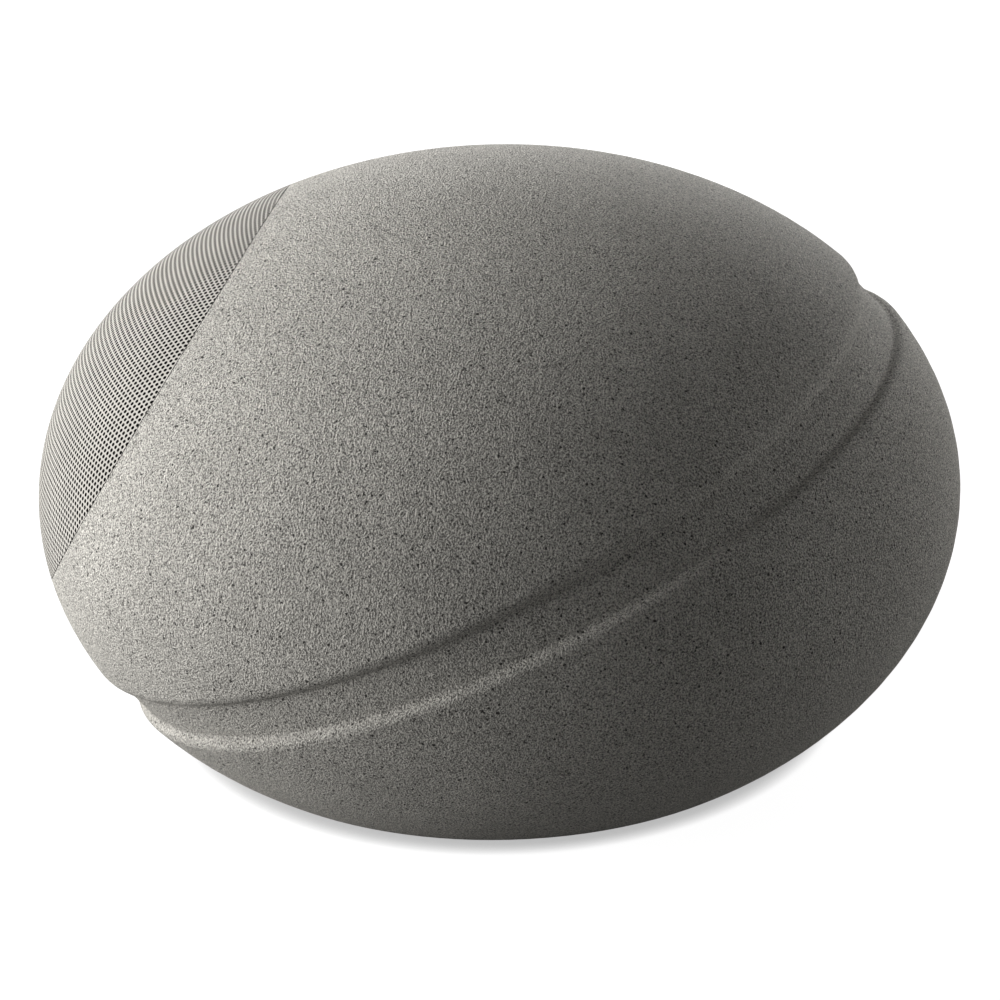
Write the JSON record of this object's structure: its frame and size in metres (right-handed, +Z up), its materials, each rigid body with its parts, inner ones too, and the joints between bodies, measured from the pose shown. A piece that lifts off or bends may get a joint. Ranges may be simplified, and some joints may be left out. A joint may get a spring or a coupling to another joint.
{
  "type": "rock shaped garden speaker",
  "caption": "Pebble-shaped outdoor loudspeaker: two stone-effect shells with a slanted groove between them, a flush domed perforated grille and a coaxial driver behind it.",
  "frame": {"origin": "on the ground under the middle of the pebble", "axes": "+Z up, the grille faces -Y and upwards, +X to the right of someone standing behind it"},
  "size_m": [0.4386, 0.44, 0.2635],
  "materials": {
    "stone_coat": "moulded shell with a fine stone-effect coat",
    "grille_paint": "perforated sheet, matt stone-grey powder coat",
    "black_cloth": "open black acoustic cloth",
    "black_rubber": "matt black rubber",
    "zinc_steel": "zinc-plated steel",
    "black_board": "moulded black board",
    "black_metal": "pressed steel, black paint",
    "cone_plastic": "dark moulded cone",
    "spider_cloth": "treated cloth, amber",
    "coil_metal": "aluminium former with its winding",
    "ferrite": "dark grey ferrite",
    "post_metal": "turned aluminium",
    "dome_cloth": "coated dome",
    "black_plastic": "moulded black plastic",
    "board_green": "printed board, green lacquer",
    "copper_wire": "enamelled copper winding",
    "capacitor_film": "sleeved capacitor",
    "white_ceramic": "white ceramic body",
    "wadding_fibre": "white fibre wadding"
  },
  "bodies": {
    "root": {"upper_shell": "stone_coat", "lower_shell": "stone_coat", "shell_gasket": "black_rubber", "shell_screws": "zinc_steel", "grille": "grille_paint", "grille_cloth": "black_cloth", "baffle": "black_board", "baffle_screws": "zinc_steel", "woofer_gasket": "black_rubber", "woofer_basket": "black_metal", "woofer_screws": "zinc_steel", "woofer_surround": "black_rubber", "woofer_cone": "cone_plastic", "woofer_spider": "spider_cloth", "voice_coil": "coil_metal", "top_plate": "zinc_steel", "woofer_magnet": "ferrite", "back_plate": "zinc_steel", "tweeter_post": "post_metal", "tweeter_cup": "black_plastic", "tweeter_magnet": "ferrite", "tweeter_dome": "dome_cloth", "tweeter_faceplate": "black_plastic", "crossover_board": "board_green", "board_screws": "zinc_steel", "inductors": "copper_wire", "capacitors": "capacitor_film", "resistor": "white_ceramic", "terminal_block": "black_plastic", "cable_gland": "black_plastic", "gland_nut": "black_plastic", "feet": "black_rubber", "wadding": "wadding_fibre"}
  },
  "joints": []
}
